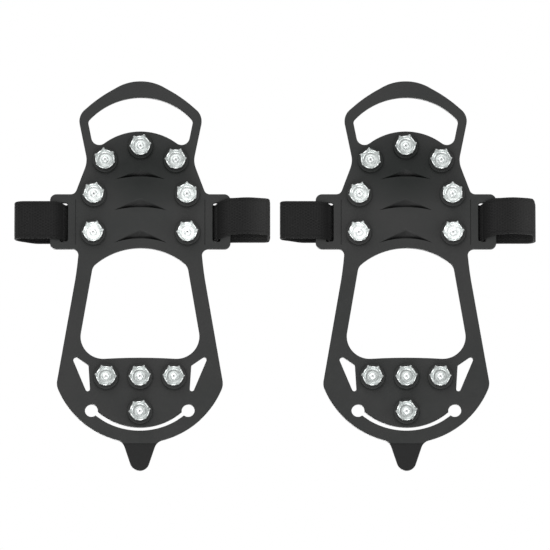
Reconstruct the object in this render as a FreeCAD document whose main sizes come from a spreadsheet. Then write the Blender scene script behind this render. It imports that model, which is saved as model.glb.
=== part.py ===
"""A pair of slip-on shoe ice cleats: moulded rubber soles, crown studs, rivets and instep straps.

Row frame: +Z up, +Y towards the toe, +X to the wearer's right, studs down, tooth tips at Z = 0.
Each cleat is drawn about its own centre line and placed along X. All lengths are millimetres.
"""

import FreeCAD, Part
import os
import re
import Sketcher

Vector = FreeCAD.Vector

SIZES = {
    # places of the two cleats along X
    "left_cleat_x": (-74.7, "centre line of the left cleat"),
    "right_cleat_x": (76.9, "centre line of the right cleat"),
    # heights above the ground
    "crown_height": (5.3, "tooth tip to the boss face"),
    "boss_height": (2.2, "boss face to the ground face of the sole"),
    "sole_thick": (3.0, "moulding thickness"),
    "seat_rise": (0.5, "heel seat above the foot face"),
    # toe loop
    "toe_tip_y": (112.6, "front of the loop"),
    "toe_tip_r": (26.4, "front arc of the loop"),
    "brow_x": (14.6, "end of the front arc"),
    "brow_y": (108.4, "end of the front arc"),
    "brow_r": (80.0, "slow curve down to the shoulder"),
    "temple_x": (28.4, "end of the slow curve"),
    "temple_y": (99.1, "end of the slow curve"),
    "shoulder_x": (35.78, "corner of the shoulder before rounding"),
    "shoulder_y": (92.6, "corner of the shoulder before rounding"),
    "shoulder_r": (8.6, "rounding of the shoulder"),
    "loop_hinge_y": (81.0, "line where the loop folds"),
    "loop_hinge_x": (33.4, "outer edge at the fold line"),
    "loop_hole_y": (103.2, "front of the toe opening"),
    "loop_hole_r": (39.9, "front arc of the toe opening"),
    "loop_cheek_y": (89.3, "corner of the toe opening"),
    "loop_cheek_r": (3.0, "rounding of that corner"),
    "loop_splay": (11.45, "angle of the loop's sides from straight ahead, degrees"),
    # forefoot
    "brim_y": (83.4, "front of the forefoot pad"),
    "brim_r": (34.5, "front arc of the pad"),
    "lobe_x": (23.5, "centre of the round corner of the toe opening"),
    "lobe_r": (4.6, "round corner of the toe opening"),
    "waist_x": (30.28, "waist corner before rounding"),
    "waist_y": (65.8, "waist corner before rounding"),
    "waist_r": (14.0, "rounding of the waist"),
    "tab_root_x": (37.35, "where the side meets the tab, front"),
    "tab_front_y": (46.9, "front edge of the tab"),
    "tab_reach": (51.5, "outer edge of the tab"),
    "tab_corner_r": (3.6, "outer corners of the tab"),
    "tab_root_r": (3.4, "inner corners of the tab"),
    "tab_rear_y": (15.1, "rear edge of the tab"),
    "tab_heel_x": (35.0, "where the side meets the tab, rear"),
    "slot_inner_x": (41.3, "strap slot, inner edge"),
    "slot_outer_x": (45.6, "strap slot, outer edge"),
    "slot_rear_y": (19.3, "strap slot, rear end"),
    "slot_front_y": (41.9, "strap slot, front end"),
    "slot_corner_r": (0.9, "rounding of the slot's outer corners"),
    "slot_inner_r": (1.6, "rounding of the slot's inner corners"),
    "groove_x": (36.9, "thin groove at the root of the tab"),
    "groove_rear_y": (17.7, "rear end of the groove"),
    "groove_front_y": (43.7, "front end of the groove"),
    "groove_wide": (0.5, "width of the groove"),
    "groove_deep": (0.35, "depth of the groove"),
    # side arms and the arch opening
    "flank_x": (37.0, "side of the arm, where it becomes straight"),
    "flank_y": (-2.6, "side of the arm, where it becomes straight"),
    "flank_r": (210.0, "slow curve of the arm's side"),
    "hip_x": (47.5, "corner of the hip before rounding"),
    "hip_y": (-63.3, "corner of the hip before rounding"),
    "hip_r": (8.6, "rounding of the hip"),
    "arch_top_y": (15.8, "front of the arch opening"),
    "arch_top_r": (39.3, "front arc of the arch opening"),
    "arch_corner_x": (27.06, "front corner of the arch opening"),
    "arch_corner_y": (5.0, "front corner of the arch opening"),
    "arch_corner_r": (5.7, "rounding of the front corner"),
    "arch_heel_x": (36.5, "rear corner of the arch opening"),
    "arch_heel_y": (-49.8, "rear corner of the arch opening"),
    "arch_heel_r": (13.0, "rounding of the rear corner"),
    "arch_rear_y": (-47.7, "rear edge of the arch opening on the centre line"),
    "arch_rear_r": (320.0, "slow curve of the rear edge"),
    # heel
    "heel_r": (50.4, "outer arc of the heel"),
    "rim_hinge_y": (-83.0, "line where the heel rim folds"),
    "rim_outer_x": (34.65, "outer edge at the fold line"),
    "rim_inner_x": (22.26, "outer edge of the curved slot at the fold line"),
    "smile_outer_r": (40.56, "outer side of the curved slot"),
    "smile_inner_r": (36.33, "inner side of the curved slot"),
    "smile_rear_y": (-89.7, "outer side of the slot on the centre line"),
    "smile_inner_y": (-87.85, "inner side of the slot on the centre line"),
    "smile_end_r": (3.7, "round ends of the curved slot"),
    "smile_foot_x": (25.14, "outer side of the slot at its round end"),
    "smile_foot_y": (-80.97, "outer side of the slot at its round end"),
    "smile_side_x": (31.1, "outermost point of the round end"),
    "smile_side_y": (-77.3, "outermost point of the round end"),
    "smile_lip_x": (23.88, "inner side of the slot at its round end"),
    "smile_lip_y": (-78.9, "inner side of the slot at its round end"),
    "window_tip_x": (39.8, "front corner of the heel window before rounding"),
    "window_tip_y": (-44.8, "front corner of the heel window"),
    "window_tip_r": (1.5, "rounding of the front corner"),
    "window_side_x": (29.25, "inner corner of the heel window"),
    "window_side_y": (-52.1, "inner corner of the heel window"),
    "window_side_r": (1.0, "rounding of the inner corner"),
    "window_rear_x": (27.95, "rear corner of the heel window"),
    "window_rear_y": (-73.1, "rear corner of the heel window"),
    "window_rear_r": (1.25, "rounding of the rear corner"),
    "seat_half_wide": (25.5, "half width of the heel seat"),
    "seat_front_y": (-50.4, "front edge of the heel seat"),
    "seat_shoulder_y": (-70.0, "where the heel seat starts to narrow"),
    "seat_rear_y": (-86.4, "rear edge of the heel seat on the centre line"),
    "seat_rear_r": (34.9, "rear arc of the heel seat"),
    # pull tab
    "neck_x": (9.67, "neck of the pull tab before rounding"),
    "neck_y": (-95.87, "neck of the pull tab before rounding"),
    "neck_r": (6.0, "rounding of the neck"),
    "pull_x": (5.31, "end of the tab's straight side"),
    "pull_y": (-108.8, "end of the tab's straight side"),
    "pull_tip_y": (-112.6, "tip of the pull tab"),
    "pull_tip_r": (5.6, "rounding of the tip"),
    "crease_run": (1.0, "how far the thinner part's outline runs beyond the tip"),
    "crease_y": (-97.2, "step across the neck of the pull tab"),
    "crease_deep": (0.5, "how much thinner the pull tab is"),
    "edge_round": (0.45, "rounded edges of the moulding"),
    # studs
    "boss_r": (7.3, "rubber boss under a crown"),
    "boss_edge": (0.7, "rounded edge of the boss"),
    "rivet_r": (1.6, "rivet shank"),
    "rivet_gap": (0.05, "clearance round the shank"),
    "washer_r": (4.6, "backing washer"),
    "washer_thick": (0.8, "backing washer"),
    "washer_edge": (0.2, "chamfer of the washer"),
    "washer_sink": (1.2, "depth of the washer's recess"),
    "crown_base_r": (4.8, "crown disc"),
    "crown_tip_r": (6.0, "circle through the tooth tips"),
    "crown_sheet": (0.85, "steel thickness of the crown"),
    "crown_tip_sheet": (0.4, "steel thickness at a tooth tip"),
    "crown_bend_out": (0.25, "outer bend of the crown, beyond the disc"),
    "crown_bend_down": (0.5, "outer bend of the crown, below the disc's face"),
    "crown_valley": (1.9, "height left of the wall between two teeth"),
    "crown_valley_half": (0.35, "half width of the gap's closed end"),
    "crown_gap_half": (2.7, "half width of the gap between two teeth, at its open end"),
    "crown_gap_drop": (0.2, "how far the gap's outline runs below the tooth tips"),
    "dome_r": (2.1, "rivet head"),
    "dome_high": (1.2, "rivet head"),
    "dome_side_r": (1.72, "middle of the rivet head's round side"),
    "dome_side_up": (0.36, "middle of the rivet head's round side, above its top"),
    "dimple_r": (0.7, "hollow in the rivet head"),
    "dimple_deep": (0.63, "hollow in the rivet head"),
    # strap
    "strap_y": (30.9, "middle of the strap along the foot"),
    "strap_wide": (21.6, "strap width"),
    "strap_thick": (1.5, "strap thickness"),
    "strap_gap": (0.1, "strap to moulding"),
    "dive_x": (41.2, "where the strap starts down into the slot"),
    "dive_r": (1.6, "bend of the strap in the slot"),
    "dive_angle": (60.0, "slope of the strap in the slot, degrees"),
    "plus_reach": (72.0, "end of the side lobe at +X"),
    "minus_reach": (74.2, "end of the side lobe at -X"),
    "loop_wing_rise": (0.3, "loop wing above the sole run"),
    "patch_thick": (0.9, "hook or loop patch"),
    "patch_gap": (0.15, "between the closed patches"),
    "hook_wing_end": (-22.0, "free end of the hook wing, from the centre line"),
    "loop_wing_end": (18.0, "free end of the loop wing, from the centre line"),
    "wing_gap": (0.1, "clearance at the fold of a wing"),
    "patch_inset": (1.5, "patch edge to the strap's edge"),
    "patch_margin": (2.0, "patch end to the strap's end"),
    "hook_patch_long": (40.0, "hook patch"),
    "loop_patch_long": (46.0, "loop patch"),
    "stitch_long": (2.0, "one stitch"),
    "stitch_pitch": (3.0, "stitch spacing"),
    "stitch_wide": (0.5, "thread width"),
    "stitch_high": (0.25, "thread above the webbing"),
    "stitch_inset": (1.2, "stitch line inside the patch edge"),
}

doc = FreeCAD.newDocument("ShoeIceCleats")
sheet = doc.addObject("Spreadsheet::Sheet", "Sizes")
for row, (alias, (number, note)) in enumerate(SIZES.items(), start=1):
    sheet.set(f"A{row}", alias)
    sheet.set(f"B{row}", str(number))
    sheet.setAlias(f"B{row}", alias)
    sheet.set(f"C{row}", note)
doc.recompute()

FUNCTIONS = ("sin", "cos", "tan", "sqrt")
WORD = re.compile(r"[a-z][a-z0-9_]*")
ON_AXIS = 1e-9  # nearer to an axis than this counts as on it
SAME_LEVEL = 1e-4  # heights nearer than this are one height
SAME_PLACE = 0.02  # corners nearer than this are one corner
LEAST_UPRIGHT = 0.5  # a shorter edge is no upright corner
LEAST_CUT = 1e-3  # a cut that takes away less than this is no cut


def value(formula):
    """The number that a formula of the sheet's words gives."""
    return float(sheet.evalExpression(str(formula)))


def bound(formula):
    """The same formula as another object of the document writes it."""
    return WORD.sub(lambda w: w[0] if w[0] in FUNCTIONS else "Sizes." + w[0], str(formula))


def bind(thing, prop, formula):
    """Sets a property and ties it to the sheet."""
    setattr(thing, prop, value(formula))
    thing.setExpression(prop, bound(formula))


# heights that several pieces share
BOSS_Z = "crown_height"
GROUND_Z = "crown_height + boss_height"
FOOT_Z = "crown_height + boss_height + sole_thick"
RUN_Z = f"{FOOT_Z} + strap_gap + strap_thick / 2"
UNDER_Z = f"{GROUND_Z} - strap_gap - strap_thick / 2"
LOOP_WING_Z = f"{FOOT_Z} + strap_gap + strap_thick + loop_wing_rise"
HOOK_WING_Z = f"{LOOP_WING_Z} + strap_thick + 2 * patch_thick + patch_gap"

# the round corner of the toe opening touches the pad's front arc and the loop's straight side
LOBE_Y = "(brim_y - brim_r + sqrt((brim_r + lobe_r)^2 - lobe_x^2))"
BRIM_END_X = "brim_r * lobe_x / (brim_r + lobe_r)"
BRIM_END_Y = f"brim_y - brim_r + brim_r * ({LOBE_Y} - brim_y + brim_r) / (brim_r + lobe_r)"
LOBE_SIDE_X = "(lobe_x + lobe_r * cos(loop_splay))"
LOBE_SIDE_Y = f"({LOBE_Y} - lobe_r * sin(loop_splay))"


def loop_inside_x(y):
    """The inner edge of the loop's straight side at a place along Y."""
    return f"{LOBE_SIDE_X} + ({y} - {LOBE_SIDE_Y}) * tan(loop_splay)"


TEETH = 6  # on one crown

# stud places on one cleat, and the turn of each crown's teeth in degrees
STUDS = [
    ("toe_mid", 0.0, 74.5, -8),
    ("toe_plus", 20.2, 66.5, 22),
    ("toe_minus", -20.2, 66.5, -1),
    ("ball_plus", 26.6, 46.7, 47),
    ("ball_minus", -26.6, 46.7, 30),
    ("arch_plus", 26.9, 24.5, -6),
    ("arch_minus", -26.9, 24.5, -5),
    ("heel_mid", 0.0, -58.9, -5),
    ("heel_plus", 19.3, -58.9, 5),
    ("heel_minus", -19.3, -58.9, 2),
    ("heel_rear", 0.0, -79.0, -7),
]

# curved recesses of the forefoot: ends, rear arc and front point along Y, half span
CRESCENTS = [(55.5, 57.1, 61.2, 14.4), (37.6, 39.3, 44.8, 15.1), (18.7, 21.2, 26.8, 15.1)]
CRESCENT_DEEP = 1.9
CRESCENT_FLOOR = 0.5  # length of the deep floor on the centre line
CRESCENT_FLOOR_SPAN = 0.8  # its span, as a share of the mouth's
CRESCENT_LEAN = 0.1  # how far the rear wall leans


# ---- sketches ------------------------------------------------------------------------------


def sketch_on(body, name, role, height="0"):
    """A sketch on one of the body's own origin planes, moved along its normal."""
    sketch = body.newObject("Sketcher::SketchObject", name)
    plane = next(o for o in body.Origin.OriginFeatures if o.Role == role)
    sketch.AttachmentSupport = [(plane, "")]
    sketch.MapMode = "FlatFace"
    sketch.AttachmentOffset = FreeCAD.Placement(Vector(0, 0, value(height)), FreeCAD.Rotation())
    sketch.setExpression(".AttachmentOffset.Base.z", bound(height))
    return sketch


def arc_between(a, b, radius):
    """The short arc from a to b: a positive radius turns left, a negative one right."""
    chord = b - a
    half = chord.Length / 2
    rise = max(radius * radius - half * half, 0) ** 0.5
    side = 1 if radius > 0 else -1
    across = Vector(-chord.y, chord.x, 0).normalize() * side
    centre = (a + b) * 0.5 + across * rise
    middle = centre - across * abs(radius)
    return Part.Arc(a, middle, b)


def held(sketch, curve, end, formulas):
    """Ties one end of a curve to its place in the sheet."""
    for kind, axis, formula in (("DistanceX", -2, formulas[0]), ("DistanceY", -1, formulas[1])):
        number = value(formula)
        if abs(number) < ON_AXIS:
            sketch.addConstraint(Sketcher.Constraint("PointOnObject", curve, end, axis))
            continue
        rule = sketch.addConstraint(Sketcher.Constraint(kind, -1, 1, curve, end, number))
        sketch.setExpression(f"Constraints[{rule}]", bound(formula))


def draw(sketch, steps, closed=True):
    """Lines and arcs through the steps (x, y) or (x, y, radius of the arc that arrives there)."""
    points = [Vector(value(s[0]), value(s[1]), 0) for s in steps]
    count = len(steps) if closed else len(steps) - 1
    curves = []
    for i in range(count):
        j = (i + 1) % len(steps)
        radius = value(steps[j][2]) if len(steps[j]) > 2 else 0
        if radius:
            piece = arc_between(points[i], points[j], radius)
        else:
            piece = Part.LineSegment(points[i], points[j])
        curves.append((sketch.addGeometry(piece, False), radius, j))
    # an arc is stored counter-clockwise, so a right turn starts at its second end
    ends = [(1, 2) if radius >= 0 else (2, 1) for _, radius, _ in curves]
    for i, (curve, radius, j) in enumerate(curves):
        held(sketch, curve, ends[i][0], steps[(j - 1) % len(steps)][:2])
        if closed or i + 1 < count:
            after = (i + 1) % count
            joint = (curve, ends[i][1], curves[after][0], ends[after][0])
            sketch.addConstraint(Sketcher.Constraint("Coincident", *joint))
        else:
            held(sketch, curve, ends[i][1], steps[j][:2])
        if radius:
            rule = sketch.addConstraint(Sketcher.Constraint("Radius", curve, abs(radius)))
            formula = steps[j][2] if radius > 0 else f"-({steps[j][2]})"
            sketch.setExpression(f"Constraints[{rule}]", bound(formula))


def circle(sketch, x, y, radius):
    """A circle with its size and centre tied to the sheet."""
    outline = Part.Circle(Vector(value(x), value(y), 0), Vector(0, 0, 1), value(radius))
    ring = sketch.addGeometry(outline, False)
    held(sketch, ring, 3, (x, y))
    rule = sketch.addConstraint(Sketcher.Constraint("Radius", ring, value(radius)))
    sketch.setExpression(f"Constraints[{rule}]", bound(radius))


def both_sides(half):
    """A closed outline from its +X half, drawn from front to rear; arcs keep their turn when mirrored."""
    whole = list(half)
    for i in range(len(half) - 1, -1, -1):
        x, y = half[i][:2]
        arriving = half[i + 1][2:] if i + 1 < len(half) else ()
        if abs(value(x)) > ON_AXIS:
            whole.append((f"-({x})", y) + arriving)
    if abs(value(half[0][0])) < ON_AXIS:
        whole[0] = half[0][:2] + half[1][2:]
    return whole


# ---- features ------------------------------------------------------------------------------


def new_body(label, cleat_x):
    body = doc.addObject("PartDesign::Body", label)
    body.Label = label
    body.Placement = FreeCAD.Placement(Vector(value(cleat_x), 0, 0), FreeCAD.Rotation())
    body.setExpression(".Placement.Base.x", bound(cleat_x))
    return body


def pad(body, sketch, length, down=False):
    feature = body.newObject("PartDesign::Pad", sketch.Name + "Pad")
    feature.Profile = sketch
    bind(feature, "Length", length)
    feature.Reversed = down
    doc.recompute()
    return feature


def pocket(body, sketch, depth, up=False):
    """Cuts downwards from its sketch, or upwards, and refuses a cut that takes nothing away."""
    before = body.Shape.Volume
    feature = body.newObject("PartDesign::Pocket", sketch.Name + "Pocket")
    feature.Profile = sketch
    bind(feature, "Length", depth)
    feature.Reversed = up
    doc.recompute()
    if body.Shape.Volume > before - LEAST_CUT:
        raise RuntimeError(f"{body.Label}: {feature.Name} cuts nothing")
    return feature


def rounded(body, radius, wanted, name):
    """Rounds the body's edges that the test wants."""
    base = body.Tip
    names = [f"Edge{i}" for i, e in enumerate(base.Shape.Edges, start=1) if wanted(e)]
    if not names:
        raise RuntimeError(f"{body.Label}: {name} finds no edge")
    feature = body.newObject("PartDesign::Fillet", name)
    feature.Base = (base, names)
    bind(feature, "Radius", radius)
    doc.recompute()
    if feature.Shape.isNull():
        raise RuntimeError(f"{body.Label}: {name} can't be rounded")
    return feature


def upright_at(x, y):
    """Tests for an upright edge at that place and at its mirror place."""
    place = (value(x), value(y))

    def wanted(edge):
        ends = [v.Point for v in edge.Vertexes]
        if len(ends) != 2 or abs(ends[0].z - ends[1].z) < LEAST_UPRIGHT:
            return False
        return all(
            abs(abs(p.x) - place[0]) < SAME_PLACE and abs(p.y - place[1]) < SAME_PLACE for p in ends
        )

    return wanted


def rounded_corners(body, label, corners):
    """Rounds upright corners, each with its own radius, on both sides of the centre line."""
    for name, x, y, radius in corners:
        rounded(body, radius, upright_at(x, y), f"{label}_{name}_round")


def level_at(*heights):
    """Tests for an edge that lies wholly at one of these heights."""
    levels = [value(h) for h in heights]

    def wanted(edge):
        box = edge.BoundBox
        return any(
            abs(box.ZMin - z) < SAME_LEVEL and abs(box.ZMax - z) < SAME_LEVEL for z in levels
        )

    return wanted


def soft_edges(body, label, fold_lines):
    """Rounds the long edges of the moulding, but not those on its fold lines."""
    flat_edge = level_at(GROUND_Z, FOOT_Z)

    def wanted(edge):
        box = edge.BoundBox
        on_fold = any(
            abs(box.YMin - y) < SAME_PLACE and abs(box.YMax - y) < SAME_PLACE for y in fold_lines
        )
        return flat_edge(edge) and not on_fold

    rounded(body, "edge_round", wanted, label + "_soft_edges")


# ---- the rubber moulding ---------------------------------------------------------------------


def sole_outline():
    """The moulding without its toe loop and heel rim."""
    half = [
        ("0", "brim_y"),
        (BRIM_END_X, BRIM_END_Y, "-brim_r"),
        (LOBE_SIDE_X, LOBE_SIDE_Y, "lobe_r"),
        (loop_inside_x("loop_hinge_y"), "loop_hinge_y"),
        ("loop_hinge_x", "loop_hinge_y"),
        ("waist_x", "waist_y"),
        ("tab_root_x", "tab_front_y"),
        ("tab_reach", "tab_front_y"),
        ("tab_reach", "tab_rear_y"),
        ("tab_heel_x", "tab_rear_y"),
        ("flank_x", "flank_y", "flank_r"),
        ("hip_x", "hip_y"),
        ("rim_outer_x", "rim_hinge_y", "-heel_r"),
        ("rim_inner_x", "rim_hinge_y"),
        ("smile_foot_x", "smile_foot_y", "smile_outer_r"),
        ("smile_side_x", "smile_side_y", "smile_end_r"),
        ("smile_lip_x", "smile_lip_y", "smile_end_r"),
        ("0", "smile_inner_y", "-smile_inner_r"),
    ]
    return both_sides(half)


def arch_outline():
    half = [
        ("0", "arch_top_y"),
        ("arch_corner_x", "arch_corner_y", "-arch_top_r"),
        ("arch_heel_x", "arch_heel_y"),
        ("0", "arch_rear_y", "arch_rear_r"),
    ]
    return both_sides(half)


def sole_moulding(label, cleat_x):
    """The pads, side arms and strap tabs, lying flat, with bosses on the ground face."""
    body = new_body(label, cleat_x)
    outline = sketch_on(body, label + "_outline", "XY_Plane", GROUND_Z)
    draw(outline, sole_outline())
    pad(body, outline, "sole_thick")

    rounded_corners(body, label, [
        ("waist", "waist_x", "waist_y", "waist_r"),
        ("tab_front_root", "tab_root_x", "tab_front_y", "tab_root_r"),
        ("tab_rear_root", "tab_heel_x", "tab_rear_y", "tab_root_r"),
        ("tab_front", "tab_reach", "tab_front_y", "tab_corner_r"),
        ("tab_rear", "tab_reach", "tab_rear_y", "tab_corner_r"),
        ("hip", "hip_x", "hip_y", "hip_r"),
    ])

    arch = sketch_on(body, label + "_arch", "XY_Plane", FOOT_Z)
    draw(arch, arch_outline())
    pocket(body, arch, "sole_thick")
    rounded_corners(body, label, [
        ("arch_front", "arch_corner_x", "arch_corner_y", "arch_corner_r"),
        ("arch_rear", "arch_heel_x", "arch_heel_y", "arch_heel_r"),
    ])

    holes = sketch_on(body, label + "_holes", "XY_Plane", FOOT_Z)
    for side in ("", "-"):
        draw(holes, [
            (side + "slot_inner_x", "slot_rear_y"),
            (side + "slot_outer_x", "slot_rear_y"),
            (side + "slot_outer_x", "slot_front_y"),
            (side + "slot_inner_x", "slot_front_y"),
        ])
        draw(holes, [
            (side + "window_tip_x", "window_tip_y"),
            (side + "window_rear_x", "window_rear_y"),
            (side + "window_side_x", "window_side_y"),
        ])
    pocket(body, holes, "sole_thick")
    rounded_corners(body, label, [
        ("window_tip", "window_tip_x", "window_tip_y", "window_tip_r"),
        ("window_side", "window_side_x", "window_side_y", "window_side_r"),
        ("window_rear", "window_rear_x", "window_rear_y", "window_rear_r"),
        ("slot_inner_rear", "slot_inner_x", "slot_rear_y", "slot_inner_r"),
        ("slot_outer_rear", "slot_outer_x", "slot_rear_y", "slot_corner_r"),
        ("slot_outer_front", "slot_outer_x", "slot_front_y", "slot_corner_r"),
        ("slot_inner_front", "slot_inner_x", "slot_front_y", "slot_inner_r"),
    ])
    soft_edges(body, label, [value("loop_hinge_y"), value("rim_hinge_y")])

    bosses = sketch_on(body, label + "_bosses", "XY_Plane", GROUND_Z)
    for _, x, y, _ in STUDS:
        circle(bosses, x, y, "boss_r")
    pad(body, bosses, "boss_height", down=True)
    rounded(body, "boss_edge", level_at(BOSS_Z), label + "_boss_edges")

    seat = sketch_on(body, label + "_seat", "XY_Plane", FOOT_Z)
    draw(seat, both_sides([
        ("seat_half_wide", "seat_front_y"),
        ("seat_half_wide", "seat_shoulder_y"),
        ("0", "seat_rear_y", "-seat_rear_r"),
    ]))
    pad(body, seat, "seat_rise")

    shanks = sketch_on(body, label + "_shanks", "XY_Plane", f"{FOOT_Z} + seat_rise")
    recesses = sketch_on(body, label + "_recesses", "XY_Plane", f"{FOOT_Z} + seat_rise")
    for _, x, y, _ in STUDS:
        circle(shanks, x, y, "rivet_r + rivet_gap")
        circle(recesses, x, y, "washer_r + 2 * rivet_gap")
    pocket(body, shanks, "seat_rise + sole_thick + boss_height")
    pocket(body, recesses, "seat_rise + washer_sink")

    grooves = sketch_on(body, label + "_grooves", "XY_Plane", GROUND_Z)
    for side in ("", "-"):
        draw(grooves, [
            (side + "(groove_x - groove_wide / 2)", "groove_rear_y"),
            (side + "(groove_x + groove_wide / 2)", "groove_rear_y"),
            (side + "(groove_x + groove_wide / 2)", "groove_front_y"),
            (side + "(groove_x - groove_wide / 2)", "groove_front_y"),
        ])
    pocket(body, grooves, "groove_deep", up=True)

    for number, (ends_y, rear_y, front_y, half) in enumerate(CRESCENTS, start=1):
        crescent(body, f"{label}_crescent{number}", ends_y, rear_y, front_y, half)
    return body


def crescent(body, name, ends_y, rear_y, front_y, half):
    """A wedge-shaped recess: its floor falls from the front point to a steep wall along the rear arc."""
    bow = rear_y - ends_y
    rear_r = (half * half + bow * bow) / (2 * bow)
    mouth = sketch_on(body, name + "_mouth", "XY_Plane", GROUND_Z)
    draw(mouth, [
        (-half, ends_y),
        (half, ends_y, -rear_r),
        (0, front_y),
    ])
    deep_half = half * CRESCENT_FLOOR_SPAN
    deep_ends = rear_y - rear_r + (rear_r * rear_r - deep_half * deep_half) ** 0.5 + CRESCENT_LEAN
    rise = rear_y + CRESCENT_LEAN + CRESCENT_FLOOR - deep_ends
    front_r = (deep_half * deep_half + rise * rise) / (2 * rise)
    floor = sketch_on(body, name + "_floor", "XY_Plane", f"{GROUND_Z} + {CRESCENT_DEEP}")
    draw(floor, [
        (-deep_half, deep_ends, front_r),
        (deep_half, deep_ends, -rear_r),
        (0, deep_ends + rise, front_r),
    ])
    before = body.Shape.Volume
    cut = body.newObject("PartDesign::SubtractiveLoft", name + "_cut")
    cut.Profile = mouth
    cut.Sections = [floor]
    cut.Ruled = True
    doc.recompute()
    if body.Shape.Volume > before - LEAST_CUT or len(body.Shape.Solids) > 1:
        raise RuntimeError(f"{name} isn't cut")


def toe_loop(label, cleat_x):
    """The arch-shaped band in front of the forefoot."""
    body = new_body(label, cleat_x)
    outline = sketch_on(body, label + "_outline", "XY_Plane", GROUND_Z)
    fold_y = "loop_hinge_y + wing_gap"
    cheek = (loop_inside_x("loop_cheek_y"), "loop_cheek_y")
    half = [
        ("0", "toe_tip_y"),
        ("brow_x", "brow_y", "-toe_tip_r"),
        ("temple_x", "temple_y", "-brow_r"),
        ("shoulder_x", "shoulder_y"),
        ("loop_hinge_x", fold_y),
        (loop_inside_x("loop_hinge_y"), fold_y),
        cheek,
        ("0", "loop_hole_y", "loop_hole_r"),
    ]
    draw(outline, both_sides(half))
    pad(body, outline, "sole_thick")
    rounded(body, "shoulder_r", upright_at("shoulder_x", "shoulder_y"), label + "_shoulder_round")
    rounded(body, "loop_cheek_r", upright_at(*cheek), label + "_cheek_round")
    soft_edges(body, label, [value(fold_y)])
    return body


def heel_rim(label, cleat_x):
    """The band behind the curved slot, with the pull tab."""
    body = new_body(label, cleat_x)
    outline = sketch_on(body, label + "_outline", "XY_Plane", GROUND_Z)
    fold_y = "rim_hinge_y - wing_gap"
    half = [
        ("0", "smile_rear_y"),
        ("rim_inner_x", fold_y, "smile_outer_r"),
        ("rim_outer_x", fold_y),
        ("neck_x", "neck_y", "-heel_r"),
        ("pull_x", "pull_y"),
        ("0", "pull_tip_y", "-pull_tip_r"),
    ]
    draw(outline, both_sides(half))
    pad(body, outline, "sole_thick")
    rounded(body, "neck_r", upright_at("neck_x", "neck_y"), label + "_neck_round")
    soft_edges(body, label, [value(fold_y)])
    step = sketch_on(body, label + "_step", "XY_Plane", GROUND_Z)
    draw(step, [
        ("-2 * neck_x", "crease_y"),
        ("2 * neck_x", "crease_y"),
        ("2 * neck_x", "pull_tip_y - crease_run"),
        ("-2 * neck_x", "pull_tip_y - crease_run"),
    ])
    pocket(body, step, "crease_deep", up=True)
    return body


# ---- studs -----------------------------------------------------------------------------------


def crown(label, cleat_x, x, y, turn):
    """A stamped steel crown: a disc with a flared wall that is cut into six pointed teeth."""
    body = new_body(label, cleat_x)
    place = Vector(value(cleat_x) + x, y, 0)
    body.setExpression(".Placement.Base.x", bound(f"{cleat_x} + ({x})"))
    body.Placement = FreeCAD.Placement(place, FreeCAD.Rotation(Vector(0, 0, 1), turn))
    profile = sketch_on(body, label + "_profile", "XZ_Plane")
    draw(profile, [
        ("rivet_r + 2 * rivet_gap", "crown_height - crown_sheet"),
        ("crown_base_r - crown_sheet", "crown_height - crown_sheet"),
        ("crown_tip_r - crown_tip_sheet", "0"),
        ("crown_tip_r", "0"),
        ("crown_base_r + crown_bend_out", "crown_height - crown_bend_down"),
        ("crown_base_r", "crown_height"),
        ("rivet_r + 2 * rivet_gap", "crown_height"),
    ])
    turned = body.newObject("PartDesign::Revolution", label + "_turned")
    turned.Profile = profile
    turned.ReferenceAxis = (profile, ["V_Axis"])
    turned.Angle = 360
    doc.recompute()
    notch = sketch_on(body, label + "_notch", "YZ_Plane")
    draw(notch, [
        ("-crown_valley_half", "crown_height - crown_sheet - crown_valley"),
        ("-crown_gap_half", "-crown_gap_drop"),
        ("crown_gap_half", "-crown_gap_drop"),
        ("crown_valley_half", "crown_height - crown_sheet - crown_valley"),
    ])
    cut = pocket(body, notch, "2 * crown_tip_r", up=True)
    teeth = body.newObject("PartDesign::PolarPattern", label + "_teeth")
    teeth.Originals = [cut]
    teeth.Axis = (profile, ["V_Axis"])
    teeth.Angle = 360
    teeth.Occurrences = TEETH
    body.Tip = teeth
    doc.recompute()
    return body


def group(label, cleat_x, solids):
    """Several equal small pieces in one node, as separate solids."""
    node = doc.addObject("Part::Feature", label)
    node.Label = label
    node.Shape = Part.makeCompound(solids)
    node.Placement = FreeCAD.Placement(Vector(value(cleat_x), 0, 0), FreeCAD.Rotation())
    node.setExpression(".Placement.Base.x", bound(cleat_x))
    return node


def rivets(label, cleat_x):
    """Rivets with a dimpled round head on the crown and a flat upset end in the washer."""
    head_z = value("crown_height - crown_sheet")
    high, head_r = value("dome_high"), value("dome_r")
    dimple_r, shank_r = value("dimple_r"), value("rivet_r")
    side_r, side_up = value("dome_side_r"), value("dome_side_up")
    end_z = value(f"{FOOT_Z} - washer_sink + washer_thick")
    low = head_z - high
    dimple_top = Vector(0, 0, low + value("dimple_deep"))
    lip = Vector(dimple_r, 0, low)
    profile = Part.Wire([
        Part.LineSegment(dimple_top, lip).toShape(),
        Part.Arc(lip, Vector(side_r, 0, low + side_up), Vector(head_r, 0, head_z)).toShape(),
        Part.makePolygon([
            Vector(head_r, 0, head_z),
            Vector(shank_r, 0, head_z),
            Vector(shank_r, 0, end_z),
            Vector(0, 0, end_z),
            dimple_top,
        ]),
    ])
    one = Part.Face(profile).revolve(Vector(0, 0, 0), Vector(0, 0, 1), 360)
    return group(label, cleat_x, [one.translated(Vector(x, y, 0)) for _, x, y, _ in STUDS])


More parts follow.
